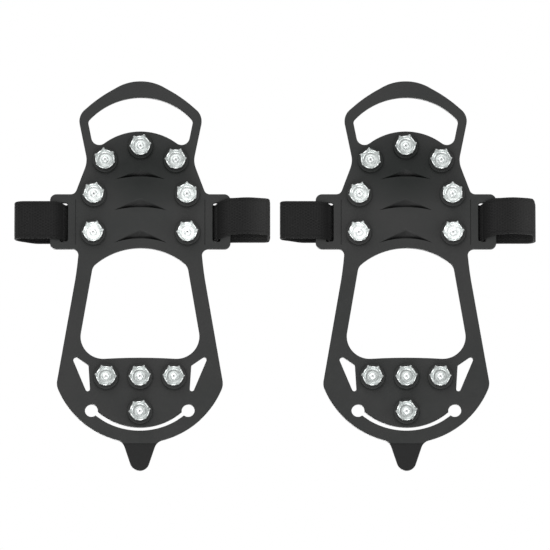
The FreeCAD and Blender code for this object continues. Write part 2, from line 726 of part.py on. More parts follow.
def washers(label, cleat_x):
    """Steel washers in the recesses of the foot face."""
    low = value(f"{FOOT_Z} - washer_sink")
    thick, outer = value("washer_thick"), value("washer_r")
    hole = value("rivet_r + rivet_gap")
    disc = Part.makeCylinder(outer, thick, Vector(0, 0, low))
    top_rim = level_at(low + thick)
    rims = [e for e in disc.Edges if top_rim(e)]
    disc = disc.makeChamfer(value("washer_edge"), rims)
    one = disc.cut(Part.makeCylinder(hole, thick, Vector(0, 0, low)))
    return group(label, cleat_x, [one.translated(Vector(x, y, 0)) for _, x, y, _ in STUDS])


# ---- strap -----------------------------------------------------------------------------------


def fold_sizes(outward, side):
    """Fold radius, fold centre and wing height on one side (+1 or -1) of a cleat."""
    reach = "plus_reach" if side > 0 else "minus_reach"
    wing_low = HOOK_WING_Z if side == outward else LOOP_WING_Z
    radius = f"({wing_low} + strap_thick / 2 - ({UNDER_Z})) / 2"
    centre = f"({reach} - strap_thick / 2 - {radius})"
    return radius, centre, wing_low


def strap_base(label, cleat_x, outward):
    """The webbing from one fold, under the tab, through both slots and out to the other fold."""
    body = new_body(label, cleat_x)
    dive_end = (
        "(dive_x + 2 * dive_r * sin(dive_angle) + "
        f"(({RUN_Z}) - ({UNDER_Z}) - 2 * dive_r * (1 - cos(dive_angle))) / tan(dive_angle))"
    )
    steps = {}
    for side in (1, -1):
        radius, centre, wing_low = fold_sizes(outward, side)
        sign = "" if side > 0 else "-"
        turn = "-" if side > 0 else ""
        steps[side] = [
            (f"{sign}{centre}", f"{wing_low} + strap_thick / 2"),
            (f"{sign}({centre} + {radius})", f"{UNDER_Z} + {radius}", f"{turn}({radius})"),
            (f"{sign}{centre}", UNDER_Z, f"{turn}({radius})"),
            (f"{sign}{dive_end}", UNDER_Z),
            (
                f"{sign}({dive_end} - dive_r * sin(dive_angle))",
                f"{UNDER_Z} + dive_r * (1 - cos(dive_angle))",
                f"{turn}dive_r",
            ),
            (
                f"{sign}(dive_x + dive_r * sin(dive_angle))",
                f"{RUN_Z} - dive_r * (1 - cos(dive_angle))",
            ),
            (f"{sign}dive_x", RUN_Z, f"{'' if side > 0 else '-'}dive_r"),
        ]
    back = steps[-1]
    route = list(steps[1])
    for i in range(len(back) - 1, -1, -1):
        arriving = back[i + 1][2:] if i + 1 < len(back) else ()
        flipped = tuple(f"-({r})" for r in arriving)
        route.append(back[i][:2] + flipped)
    path = sketch_on(body, label + "_path", "XZ_Plane", "-strap_y")
    draw(path, route, closed=False)
    start = fold_sizes(outward, 1)
    section = sketch_on(body, label + "_section", "YZ_Plane", start[1])
    low, high = start[2], f"{start[2]} + strap_thick"
    rear, front = "strap_y - strap_wide / 2", "strap_y + strap_wide / 2"
    draw(section, [(rear, low), (front, low), (front, high), (rear, high)])
    sweep = body.newObject("PartDesign::AdditivePipe", label + "_sweep")
    sweep.Profile = section
    sweep.Spine = (path, [])
    doc.recompute()
    return body


def block(label, cleat_x, along, low_z, thick, inset):
    """A flat strip of webbing or tape between two places along X."""
    body = new_body(label, cleat_x)
    sketch = sketch_on(body, label + "_sketch", "XY_Plane", low_z)
    rear = f"strap_y - strap_wide / 2 + {inset}"
    front = f"strap_y + strap_wide / 2 - {inset}"
    draw(sketch, [(along[0], rear), (along[1], rear), (along[1], front), (along[0], front)])
    pad(body, sketch, thick)
    return body


def stitching(label, cleat_x, along, low_z):
    """A box of short stitches round a patch, on the other face of the webbing."""
    step, long, wide = value("stitch_pitch"), value("stitch_long"), value("stitch_wide")
    high, low = value("stitch_high"), value(low_z)
    x0, x1 = sorted(value(a) for a in along)
    x0, x1 = x0 + value("stitch_inset"), x1 - value("stitch_inset")
    half = value("strap_wide / 2 - patch_inset - stitch_inset")
    rows = (value("strap_y") - half, value("strap_y") + half)
    solids = []
    for y in rows:
        for i in range(int((x1 - x0 - long) / step) + 1):
            solids.append(Part.makeBox(long, wide, high, Vector(x0 + i * step, y - wide / 2, low)))
    for x in (x0 - wide, x1):
        for i in range(1, int((rows[1] - rows[0] - long) / step) + 1):
            solids.append(Part.makeBox(wide, long, high, Vector(x, rows[0] + i * step - long / 2, low)))
    return group(label, cleat_x, solids)


# ---- assembly --------------------------------------------------------------------------------


def stud_label(cleat, place, outward):
    """Names a stud by where it is on the foot: the outer side is away from the other cleat."""
    plus, minus = ("outer", "inner") if outward > 0 else ("inner", "outer")
    return f"{cleat}_crown_{place.replace('plus', plus).replace('minus', minus)}"


def cleat(name, cleat_x, outward):
    pieces = [
        sole_moulding(name + "_sole_moulding", cleat_x),
        toe_loop(name + "_toe_loop", cleat_x),
        heel_rim(name + "_heel_rim", cleat_x),
    ]
    for place, x, y, turn in STUDS:
        pieces.append(crown(stud_label(name, place, outward), cleat_x, x, y, turn))
    pieces.append(rivets(name + "_rivets", cleat_x))
    pieces.append(washers(name + "_backing_washers", cleat_x))
    pieces.append(strap_base(name + "_strap_base", cleat_x, outward))

    sign = "" if outward > 0 else "-"
    other = "-" if outward > 0 else ""
    _, hook_fold, _ = fold_sizes(outward, outward)
    _, loop_fold, _ = fold_sizes(outward, -outward)
    hook = (f"{sign}(hook_wing_end)", f"{sign}({hook_fold} - wing_gap)")
    loop = (f"{sign}(loop_wing_end)", f"{other}({loop_fold} - wing_gap)")
    hook_patch = (
        f"{sign}(hook_wing_end + patch_margin)",
        f"{sign}(hook_wing_end + patch_margin + hook_patch_long)",
    )
    loop_patch = (
        f"{sign}(loop_wing_end - patch_margin)",
        f"{sign}(loop_wing_end - patch_margin - loop_patch_long)",
    )
    hook_patch_low = f"{HOOK_WING_Z} - patch_thick"
    loop_patch_low = f"{LOOP_WING_Z} + strap_thick"
    pieces += [
        block(name + "_hook_wing", cleat_x, hook, HOOK_WING_Z, "strap_thick", "0"),
        block(name + "_loop_wing", cleat_x, loop, LOOP_WING_Z, "strap_thick", "0"),
        block(name + "_hook_patch", cleat_x, hook_patch, hook_patch_low, "patch_thick", "patch_inset"),
        block(name + "_loop_patch", cleat_x, loop_patch, loop_patch_low, "patch_thick", "patch_inset"),
        stitching(name + "_hook_stitching", cleat_x, hook_patch, f"{HOOK_WING_Z} + strap_thick"),
    ]
    return pieces


def checked(pieces):
    """Stops if any object failed or any piece is not one or more valid solids."""
    for thing in doc.Objects:
        if {"Invalid", "Error"} & set(thing.State):
            raise RuntimeError(f"{thing.Name} failed: {thing.State}")
    for piece in pieces:
        shape = piece.Shape
        if shape.isNull() or not shape.isValid() or not shape.Solids:
            raise RuntimeError(f"{piece.Label} has no valid solid")
        if piece.isDerivedFrom("PartDesign::Body") and len(shape.Solids) > 1:
            raise RuntimeError(f"{piece.Label} fell into {len(shape.Solids)} solids")


everything = cleat("left", "left_cleat_x", -1) + cleat("right", "right_cleat_x", 1)
doc.recompute()
checked(everything)
os.makedirs("parts", exist_ok=True)
for piece in everything:
    piece.Shape.exportStep(f"parts/{piece.Label}.step")
print(len(everything), "nodes written")
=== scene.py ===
"""Looks of a pair of shoe ice cleats: moulded rubber soles, steel crown studs, rivets and instep straps.

Metres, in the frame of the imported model: +Z up, +Y towards the toe, studs down, tooth tips at Z = 0.
"""

import math

import bmesh
import bpy
import numpy as np
from mathutils import Matrix, Vector, noise

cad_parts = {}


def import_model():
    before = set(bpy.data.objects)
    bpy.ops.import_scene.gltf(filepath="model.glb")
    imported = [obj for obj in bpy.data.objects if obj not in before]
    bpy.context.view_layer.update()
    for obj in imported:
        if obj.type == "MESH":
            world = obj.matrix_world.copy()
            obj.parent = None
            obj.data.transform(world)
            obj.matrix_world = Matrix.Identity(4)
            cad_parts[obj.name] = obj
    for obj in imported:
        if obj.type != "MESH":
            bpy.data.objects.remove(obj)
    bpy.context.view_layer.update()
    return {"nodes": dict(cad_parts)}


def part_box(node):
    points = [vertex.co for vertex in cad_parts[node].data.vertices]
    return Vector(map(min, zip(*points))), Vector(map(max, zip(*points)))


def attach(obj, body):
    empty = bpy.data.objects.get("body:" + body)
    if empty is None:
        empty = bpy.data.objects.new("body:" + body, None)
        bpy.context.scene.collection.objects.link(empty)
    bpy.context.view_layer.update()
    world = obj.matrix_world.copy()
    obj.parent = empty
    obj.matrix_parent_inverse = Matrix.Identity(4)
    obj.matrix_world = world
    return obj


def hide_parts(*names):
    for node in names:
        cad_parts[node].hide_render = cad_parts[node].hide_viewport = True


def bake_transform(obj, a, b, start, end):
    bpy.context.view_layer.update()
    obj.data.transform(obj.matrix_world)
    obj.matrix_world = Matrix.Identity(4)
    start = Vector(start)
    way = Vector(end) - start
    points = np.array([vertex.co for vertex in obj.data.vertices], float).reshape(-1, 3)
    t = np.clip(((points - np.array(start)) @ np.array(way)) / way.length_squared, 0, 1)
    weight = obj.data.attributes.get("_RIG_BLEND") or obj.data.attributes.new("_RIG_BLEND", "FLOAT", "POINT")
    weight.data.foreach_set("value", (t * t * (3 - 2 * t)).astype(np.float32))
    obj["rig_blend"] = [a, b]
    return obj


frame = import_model()
scene = bpy.context.scene
MM = 0.001

# ---- sizes, in millimetres unless they say otherwise --------------------------------------------

CLEATS = {"left": (-74.7, -1), "right": (76.9, 1)}  # centre line along X, and the outward side
TURNS = {  # how far each crown's teeth are turned, in degrees; plus and minus are sides along X
    "toe_mid": -8, "toe_plus": 22, "toe_minus": -1, "ball_plus": 47, "ball_minus": 30, "arch_plus": -6,
    "arch_minus": -5, "heel_mid": -5, "heel_plus": 5, "heel_minus": 2, "heel_rear": -7,
}
CENTRE_X = (CLEATS["right"][0] - CLEATS["left"][0]) / 2  # mean distance of a centre line from X = 0
BOSS_Z, GROUND_Z = 5.3, 7.5  # the faces of the stud bosses and of the sole towards the ground
TOE_FOLD_Y, RIM_FOLD_Y, FOLD_GAP = 81.0, -83.0, 0.1  # the sole's ends, and the gap to each band
TOE_BEND, RIM_BEND = 11, 10  # how much of the toe loop and of the heel rim bends
TAB_START_Y, TAB_FADE = -96.6, 1.4  # where the thin pull tab starts, and over what length
DARK_PAD_Y, DARK_PAD_X_HALF, DARK_PAD_Y_HALF = 62.0, 30.0, 24.0  # the toe pad's painted shade, an ellipse

DARK_RING_R, PIT_R = 3.45, 0.72  # radii of the ring of painted dark reflection round each crown's rivet, and of the pit in a rivet's head

STRAP_Y, STRAP_WIDE, STRAP_THICK = 30.9, 21.6, 1.5
SELVAGE_IN = 1.8  # from the strap's edge to the groove along its selvage
UNDER_Z, RUN_Z, HOOK_WING_Z, LOOP_WING_Z = 6.65, 11.35, 16.6, 13.15  # middles of the layers
DIVE_X, DIVE_R, DIVE_ANGLE = 41.2, 1.6, math.radians(60)  # where the strap goes down through a slot
SLOT_X = 43.0  # middle of the strap slots, from the centre line
REACH = {1: 72.0, -1: 74.2}  # ends of a cleat's two lobes, at +X and -X of its centre line
FOLD_PINCH = {1: 0.3, -1: 0.55}  # how much narrower the strap is on each side, at those ends
FOLD_RUB = {1: 0.45, -1: 0.95}  # how rubbed it is there
SKEW_PINCH = {1: 0.0, -1: 0.2}  # how much narrower it looks all along a lobe that lies askew
HOOK_END, LOOP_END = -22.0, 18.0  # free ends of the wings, from the centre line, towards the outside
PATCH_THICK, PATCH_WIDE = 0.9, 18.6
HOOK_PATCH, LOOP_PATCH = (-20.0, 20.0), (-30.0, 16.0)  # along the outward direction
SEAM_ANGLE = math.radians(58)  # where a wing's mesh takes over from the strap's, up the fold
WING_BEND = 6  # how much of a wing bends, next to its fold
RIB_PITCH, RIB_HIGH, DOT_PITCH = 1.5, 0.07, 1.7  # the weave's cross ribs, and the dots along each
RIB_OUT = 0.35  # share of a rib's height by which it also stands out at the strap's edges
STRAP_STEP = 0.25  # step between the webbing's sections


# ---- material helpers ---------------------------------------------------------------------------


class Nodes:
    """A small builder for one material's node tree."""

    def __init__(self, name):
        self.material = bpy.data.materials.new(name)
        self.material.use_nodes = True
        self.tree = self.material.node_tree
        self.tree.nodes.clear()
        self.out = self.add("ShaderNodeOutputMaterial")
        self.shader = self.add("ShaderNodeBsdfPrincipled")
        self.link(self.shader.outputs["BSDF"], self.out.inputs["Surface"])

    def add(self, kind, **settings):
        node = self.tree.nodes.new(kind)
        for key, value in settings.items():
            setattr(node, key, value)
        return node

    def link(self, source, target):
        self.tree.links.new(source, target)

    def feed(self, socket, value):
        if isinstance(value, bpy.types.NodeSocket):
            self.link(value, socket)
        else:
            socket.default_value = value

    def maths(self, operation, a, b=0.0, c=0.0):
        node = self.add("ShaderNodeMath", operation=operation)
        for socket, value in zip(node.inputs, (a, b, c)):
            self.feed(socket, value)
        return node.outputs[0]

    def hypot(self, a, b):
        squares = self.maths("ADD", self.maths("MULTIPLY", a, a), self.maths("MULTIPLY", b, b))
        return self.maths("SQRT", squares)

    def noise(self, vector, scale, detail=3.0, rough=0.55):
        node = self.add("ShaderNodeTexNoise")
        self.feed(node.inputs["Vector"], vector)
        node.inputs["Scale"].default_value = scale
        node.inputs["Detail"].default_value = detail
        node.inputs["Roughness"].default_value = rough
        return node.outputs["Fac"]

    def cells(self, vector, scale, feature="F1"):
        node = self.add("ShaderNodeTexVoronoi", feature=feature)
        self.feed(node.inputs["Vector"], vector)
        node.inputs["Scale"].default_value = scale
        return node.outputs["Distance"]

    def stretch(self, vector, scale):
        node = self.add("ShaderNodeMapping")
        self.feed(node.inputs["Vector"], vector)
        node.inputs["Scale"].default_value = scale
        return node.outputs["Vector"]

    def span(self, value, low, high, to_low, to_high):
        """Maps low..high to to_low..to_high, held at the ends."""
        node = self.add("ShaderNodeMapRange")
        self.feed(node.inputs["Value"], value)
        keys = ("From Min", "From Max", "To Min", "To Max")
        for key, number in zip(keys, (low, high, to_low, to_high)):
            node.inputs[key].default_value = number
        return node.outputs["Result"]

    def mix(self, amount, a, b):
        node = self.add("ShaderNodeMix", data_type="RGBA")
        self.feed(node.inputs["Factor"], amount)
        for socket, value in ((node.inputs[6], a), (node.inputs[7], b)):  # the node's two colours
            self.feed(socket, value if isinstance(value, bpy.types.NodeSocket) else (*value, 1.0))
        return node.outputs[2]

    def bump(self, height, distance, strength=1.0, under=None):
        node = self.add("ShaderNodeBump")
        node.inputs["Strength"].default_value = strength
        node.inputs["Distance"].default_value = distance
        self.feed(node.inputs["Height"], height)
        if under is not None:
            self.link(under, node.inputs["Normal"])
        return node.outputs["Normal"]

    def place(self):
        return self.add("ShaderNodeTexCoord").outputs["Object"]

    def attribute(self, name, output="Vector"):
        return self.add("ShaderNodeAttribute", attribute_name=name).outputs[output]

    def split(self, vector):
        node = self.add("ShaderNodeSeparateXYZ")
        self.link(vector, node.inputs[0])
        return node.outputs

    def finish(self, colour, roughness, normal=None, **fixed):
        self.feed(self.shader.inputs["Base Color"], colour)
        self.feed(self.shader.inputs["Roughness"], roughness)
        if normal is not None:
            self.link(normal, self.shader.inputs["Normal"])
        for key, value in fixed.items():
            self.shader.inputs[key.replace("_", " ")].default_value = value
        return self.material


def rubber():
    """Matt moulded rubber: soft cloudy tone, fine moulding grain, a few dusty specks and faint scuffs.

    On the ground side the toe pad and the forefoot's recesses get painted shade, and the thin pull tab gets
    painted shade too.
    """
    n = Nodes("rubber")
    at = n.place()
    cloud = n.noise(at, 22, 3, 0.5)
    mottle = n.noise(at, 190, 4, 0.6)
    grain = n.noise(at, 2100, 2, 0.6)
    tone = n.mix(n.span(cloud, 0.35, 0.65, 0, 1), (0.0143, 0.0155, 0.0150), (0.0188, 0.0188, 0.0186))
    tone = n.mix(n.span(mottle, 0.45, 0.8, 0, 0.5), tone, (0.0240, 0.0250, 0.0243))
    speck = n.span(n.cells(at, 520), 0.02, 0.10, 0.35, 0)
    rare = n.span(n.noise(at, 130, 2), 0.56, 0.70, 0, 1)
    tone = n.mix(n.maths("MULTIPLY", speck, rare), tone, (0.10, 0.10, 0.098))
    scuff = n.noise(n.stretch(at, (1.0, 9.0, 1.0)), 120, 4, 0.7)
    scuffed = n.span(scuff, 0.66, 0.80, 0, 0.25)
    tone = n.mix(scuffed, tone, (0.040, 0.040, 0.039))
    rough = n.maths("ADD", n.span(mottle, 0.3, 0.7, 0.50, 0.62), n.maths("MULTIPLY", scuffed, 0.4))
    x, y, z = n.split(at)
    facing = n.split(n.add("ShaderNodeNewGeometry").outputs["Normal"])[2]
    # painted shade in the forefoot's recesses, on the faces that look at the ground
    inside = n.span(z, (GROUND_Z + 0.06) * MM, (GROUND_Z + 0.6) * MM, 0, 0.85)
    deep = n.maths("MULTIPLY", inside, n.span(facing, -0.6, -0.3, 1, 0))
    # painted shade on the pull tab, as if it bent away from the light
    thin = n.maths("MULTIPLY", n.attribute("pull_tab", "Fac"), 0.85)
    # painted shade on the ground side of the toe pad, strongest in the middle of an ellipse
    aside = n.maths("SUBTRACT", n.maths("ABSOLUTE", x), CENTRE_X * MM)
    aside = n.maths("DIVIDE", aside, DARK_PAD_X_HALF * MM)
    ahead = n.maths("DIVIDE", n.maths("SUBTRACT", y, DARK_PAD_Y * MM), DARK_PAD_Y_HALF * MM)
    pad = n.span(n.hypot(aside, ahead), 0.35, 1.1, 0.95, 0)
    pad = n.maths("MULTIPLY", pad, n.span(facing, -0.3, 0.3, 1, 0))
    tone = n.mix(pad, tone, (0.0032, 0.0046, 0.0040))
    tone = n.mix(n.maths("MAXIMUM", deep, thin), tone, (0.0015, 0.0015, 0.0015))
    height = n.maths("MULTIPLY_ADD", n.noise(at, 75, 2), 3.0, grain)
    return n.finish(tone, rough, n.bump(height, 0.06 * MM, 0.55), Specular_IOR_Level=0.24)


def steel(name, base, dull, rough_low, rough_high, mark, add_marks):
    """Stamped, plated steel: uneven gloss, fine drawing lines and small dents, part metal and part matt.

    The last argument is the function that adds the last marks to the tone: painted dark reflection on the
    crowns, painted shade in the rivets' pits.
    """
    n = Nodes(name)
    at = n.place()
    patch = n.noise(at, 260, 3, 0.6)
    lines = n.noise(n.stretch(at, (1.0, 1.0, 7.0)), 900, 3, 0.6)
    dents = n.cells(at, 650, "SMOOTH_F1")
    tone = n.mix(n.span(patch, 0.35, 0.7, 0, 1), base, dull)
    tone = n.mix(n.span(n.noise(at, 1500, 2), 0.62, 0.75, 0, 0.55), tone, mark)
    tone = add_marks(n, at, patch, tone)
    gloss = n.span(patch, 0.3, 0.75, rough_low, rough_high)
    rough = n.maths("ADD", gloss, n.span(lines, 0.3, 0.7, -0.04, 0.05))
    height = n.maths("MULTIPLY_ADD", dents, 1.4, lines)
    return n.finish(tone, rough, n.bump(height, 0.07 * MM, 0.5), Metallic=0.72)


def rivet_pit_shade(n, at, patch, tone):
    """The rivets under the toe are duller than the others, and the pit in each head gets painted shade."""
    dull = n.span(n.split(at)[1], 30 * MM, 60 * MM, 0, 0.5)
    tone = n.mix(dull, tone, (0.50, 0.53, 0.52))
    return n.mix(n.span(n.attribute("pit", "Fac"), 0.2, 0.8, 0, 0.9), tone, (0.03, 0.03, 0.03))


def crown_dark_reflection(n, at, patch, tone):
    """Painted dark reflection: a greyer disc and a darker ring round the rivet, most on the studs of the
    heel and the toe.
    """
    x, y, _ = n.split(at)
    far = n.hypot(x, y)
    from_ring = n.maths("ABSOLUTE", n.maths("SUBTRACT", far, DARK_RING_R * MM))
    ring = n.span(from_ring, 0.25 * MM, 0.85 * MM, 1, 0)
    along = n.split(n.add("ShaderNodeNewGeometry").outputs["Position"])[1]
    at_heel = n.span(along, -30 * MM, 0.0, 1.0, 0.12)
    at_toe = n.span(along, 30 * MM, 62 * MM, 0.15, 0.9)
    dark_reflection_share = n.maths("MAXIMUM", at_heel, at_toe)
    ring = n.maths("MULTIPLY", n.maths("MULTIPLY", ring, dark_reflection_share), n.span(patch, 0.3, 0.6, 0.5, 1.0))
    inside = n.span(far, 3.9 * MM, 4.7 * MM, 0.72, 0.22)
    tone = n.mix(n.maths("MULTIPLY", dark_reflection_share, inside), tone, (0.44, 0.47, 0.46))
    return n.mix(n.maths("MULTIPLY", ring, 0.8), tone, (0.16, 0.17, 0.17))


def webbing():
    """Woven strap: cross ribs with a dotted weave between two selvages, lighter where it is rubbed.

    The attribute weave holds the places along and across the strap in millimetres, and a third value: above
    0 the strap is rubbed lighter, below 0 it gets painted shade where it lies in a slot.
    """
    n = Nodes("webbing")
    along, across, wear_and_shade = n.split(n.attribute("weave"))
    turn = 2 * math.pi
    rib = n.maths("COSINE", n.maths("MULTIPLY", along, turn / RIB_PITCH))
    row = n.maths("MULTIPLY", n.maths("FLOOR", n.maths("DIVIDE", along, RIB_PITCH)), 0.5)
    dots = n.maths("ADD", n.maths("DIVIDE", across, DOT_PITCH), row)
    dots = n.maths("COSINE", n.maths("MULTIPLY", dots, turn))
    edge = n.maths("ABSOLUTE", across)
    groove = n.maths("ABSOLUTE", n.maths("SUBTRACT", edge, STRAP_WIDE / 2 - SELVAGE_IN))
    line = n.span(groove, 0.0, 0.32, 1, 0)
    fibre = n.noise(n.stretch(n.attribute("weave"), (3.0, 9.0, 1.0)), 1.0, 3, 0.6)
    fuzz = n.noise(n.place(), 800, 3, 0.65)
    raised = n.span(n.noise(n.attribute("weave"), 0.16, 2), 0.42, 0.60, 0.15, 0.95)
    dots = n.maths("MULTIPLY", dots, raised)
    weave = n.maths("MULTIPLY_ADD", dots, 1.5, n.maths("MULTIPLY", rib, 0.5))
    weave = n.maths("MULTIPLY_ADD", fibre, 0.9, weave)
    # the weave's pattern, with painted highlight where its ribs and dots stand raised
    tone = n.mix(n.span(weave, -1.1, 2.3, 0, 1), (0.0040, 0.0040, 0.0041), (0.0125, 0.0125, 0.0123))
    # painted shade along the selvage grooves
    tone = n.mix(n.maths("MULTIPLY", line, 0.7), tone, (0.003, 0.003, 0.003))
    tone = n.mix(n.span(fuzz, 0.55, 0.78, 0, 0.35), tone, (0.022, 0.022, 0.0215))
    rubbed = n.maths("MULTIPLY", n.maths("MAXIMUM", wear_and_shade, 0.0), n.span(fibre, 0.30, 0.62, 0.15, 1.0))
    tone = n.mix(rubbed, tone, (0.085, 0.085, 0.083))
    # painted shade where the strap lies in a slot
    shade = n.maths("MAXIMUM", n.maths("MULTIPLY", wear_and_shade, -1.0), 0.0)
    tone = n.mix(n.maths("MULTIPLY", shade, 0.9), tone, (0.0008, 0.0008, 0.0008))
    height = n.maths("SUBTRACT", weave, n.maths("MULTIPLY", line, 1.2))
    height = n.maths("MULTIPLY_ADD", fuzz, 0.8, height)
    return n.finish(tone, n.span(fibre, 0.3, 0.7, 0.72, 0.9), n.bump(height, 0.09 * MM, 0.6),
                    Sheen_Weight=0.06, Sheen_Roughness=0.45, Specular_IOR_Level=0.15)


def tape(name, low, high, scale, sheen):
    """The knitted ground of a hook or loop patch, and the threads that stand on it."""
    n = Nodes(name)
    at = n.place()
    knit = n.cells(n.stretch(at, (1.0, 1.6, 1.0)), scale)
    fuzz = n.noise(at, scale * 2.2, 4, 0.7)
    tone = n.mix(n.span(knit, 0.1, 0.6, 0, 1), low, high)
    tone = n.mix(n.span(fuzz, 0.55, 0.8, 0, 0.5), tone, tuple(1.9 * x for x in high))
    height = n.maths("MULTIPLY_ADD", fuzz, 0.7, knit)
    rough = n.span(fuzz, 0.3, 0.7, 0.65, 0.95)
    return n.finish(tone, rough, n.bump(height, 0.2 * MM, 0.7), Sheen_Weight=sheen)


def thread():
    """Sewing thread with a fine twist, a little lighter than the webbing."""
    n = Nodes("thread")
    twist = n.noise(n.place(), 3200, 2)
    tone = n.mix(n.span(twist, 0.35, 0.65, 0, 1), (0.022, 0.022, 0.022), (0.070, 0.070, 0.068))
    rough = n.span(twist, 0.3, 0.7, 0.5, 0.75)
    return n.finish(tone, rough, n.bump(twist, 0.08 * MM, 0.7), Sheen_Weight=0.15)


RUBBER = rubber()
CROWN_STEEL = steel(
    "crown_steel", (0.83, 0.86, 0.85), (0.72, 0.75, 0.74), 0.28, 0.44, (0.55, 0.57, 0.57), crown_dark_reflection)
RIVET_STEEL = steel(
    "rivet_steel", (0.86, 0.88, 0.88), (0.78, 0.80, 0.80), 0.24, 0.38, (0.50, 0.51, 0.53), rivet_pit_shade)
WEBBING = webbing()
HOOK_TAPE = tape("hook_tape", (0.010, 0.010, 0.010), (0.026, 0.026, 0.026), 900, 0.0)
LOOP_TAPE = tape("loop_tape", (0.012, 0.012, 0.012), (0.038, 0.038, 0.037), 700, 0.3)
THREAD = thread()


# ---- mesh helpers -------------------------------------------------------------------------------


def new_object(name, mesh, material, slot):
    """A piece with that mesh and material, in the scene."""
    ob = bpy.data.objects.new(name, mesh)
    scene.collection.objects.link(ob)
    if material.name not in mesh.materials:
        mesh.materials.append(material)
    return ob


def made_mesh(bm, name, sharp=None):
    """The finished mesh: smooth, but for edges sharper than that many degrees."""
    mesh = bpy.data.meshes.new(name)
    bm.to_mesh(mesh)
    bm.free()
    mesh.polygons.foreach_set("use_smooth", [True] * len(mesh.polygons))
    if sharp:
        mesh.set_sharp_from_angle(angle=math.radians(sharp))
    return mesh


def skin(bm, rings):
    """Faces round a tube through rings of vertices, with both ends closed."""
    size = len(rings[0])
    for a, b in zip(rings, rings[1:]):
        for k in range(size):
            bm.faces.new((a[k], a[(k + 1) % size], b[(k + 1) % size], b[k]))
    bm.faces.new(rings[0][::-1])
    bm.faces.new(rings[-1])


def soft_shading(ob, angle):
    """Sharp edges above that angle, and normals that follow the larger faces."""
    ob.data.set_sharp_from_angle(angle=math.radians(angle))
    weigh = ob.modifiers.new("face_weights", "WEIGHTED_NORMAL")
    weigh.keep_sharp = True
    weigh.weight = 100


def cad_copy(node, name, material, slot, change=None):
    """A new piece from a CAD node's own surface, welded, with any change made to it."""
    sharp = 38  # degrees
    bm = bmesh.new()
    bm.from_mesh(frame["nodes"][node].data)
    bmesh.ops.remove_doubles(bm, verts=bm.verts, dist=1e-6)
    if change:
        change(bm)
    mesh = made_mesh(bm, name)
    for attribute in [a.name for a in mesh.attributes if a.name.startswith("custom_normal")]:
        mesh.attributes.remove(mesh.attributes[attribute])
    mesh.materials.clear()
    ob = new_object(name, mesh, material, slot)
    soft_shading(ob, sharp)
    return ob


def cut_across(bm, places):
    """Adds edge loops where the mesh has to bend, at these places along Y in millimetres."""
    for y in places:
        whole = bm.verts[:] + bm.edges[:] + bm.faces[:]
        bmesh.ops.bisect_plane(bm, geom=whole, dist=1e-7, plane_co=(0, y * MM, 0), plane_no=(0, 1, 0))


# ---- the rubber moulding ------------------------------------------------------------------------


def moulding(side):
    """The sole, and the two bands that bend up from it."""
    sole = cad_copy(f"{side}_sole_moulding", f"{side}_sole_rubber", RUBBER, "rubber")
    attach(sole, "soles")
    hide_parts(f"{side}_sole_moulding")

    def close_toe(bm):
        """The band grows back over the hairline gap, so that it runs into the sole's arm."""
        for v in bm.verts:
            if v.co.y < (TOE_FOLD_Y + FOLD_GAP + 0.01) * MM:
                v.co.y = TOE_FOLD_Y * MM
        cut_across(bm, np.arange(TOE_FOLD_Y + 0.5, TOE_FOLD_Y + TOE_BEND + 2, 0.5))

    loop = cad_copy(f"{side}_toe_loop", f"{side}_toe_band", RUBBER, "rubber", close_toe)
    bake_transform(loop, "soles", f"{side}_toe_loop",
             (0, (TOE_FOLD_Y + 0.2) * MM, 0), (0, (TOE_FOLD_Y + TOE_BEND) * MM, 0))
    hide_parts(f"{side}_toe_loop")

    def close_heel(bm):
        """The same behind the sole. The pull tab is thinner, and it is marked for painted shade, as if it
        bent away from the light.
        """
        for v in bm.verts:
            if v.co.y > (RIM_FOLD_Y - FOLD_GAP - 0.01) * MM:
                v.co.y = RIM_FOLD_Y * MM
        cut_across(bm, np.arange(RIM_FOLD_Y - RIM_BEND - 2, RIM_FOLD_Y - 0.3, 0.5))
        cut_across(bm, (TAB_START_Y, TAB_START_Y - TAB_FADE))
        thin = bm.verts.layers.float.new("pull_tab")
        for v in bm.verts:
            v[thin] = min(max((TAB_START_Y - v.co.y / MM) / TAB_FADE, 0.0), 1.0)

    rim = cad_copy(f"{side}_heel_rim", f"{side}_heel_band", RUBBER, "rubber", close_heel)
    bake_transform(rim, "soles", f"{side}_heel_rim",
             (0, (RIM_FOLD_Y - 0.2) * MM, 0), (0, (RIM_FOLD_Y - RIM_BEND) * MM, 0))
    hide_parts(f"{side}_heel_rim")


# ---- studs --------------------------------------------------------------------------------------


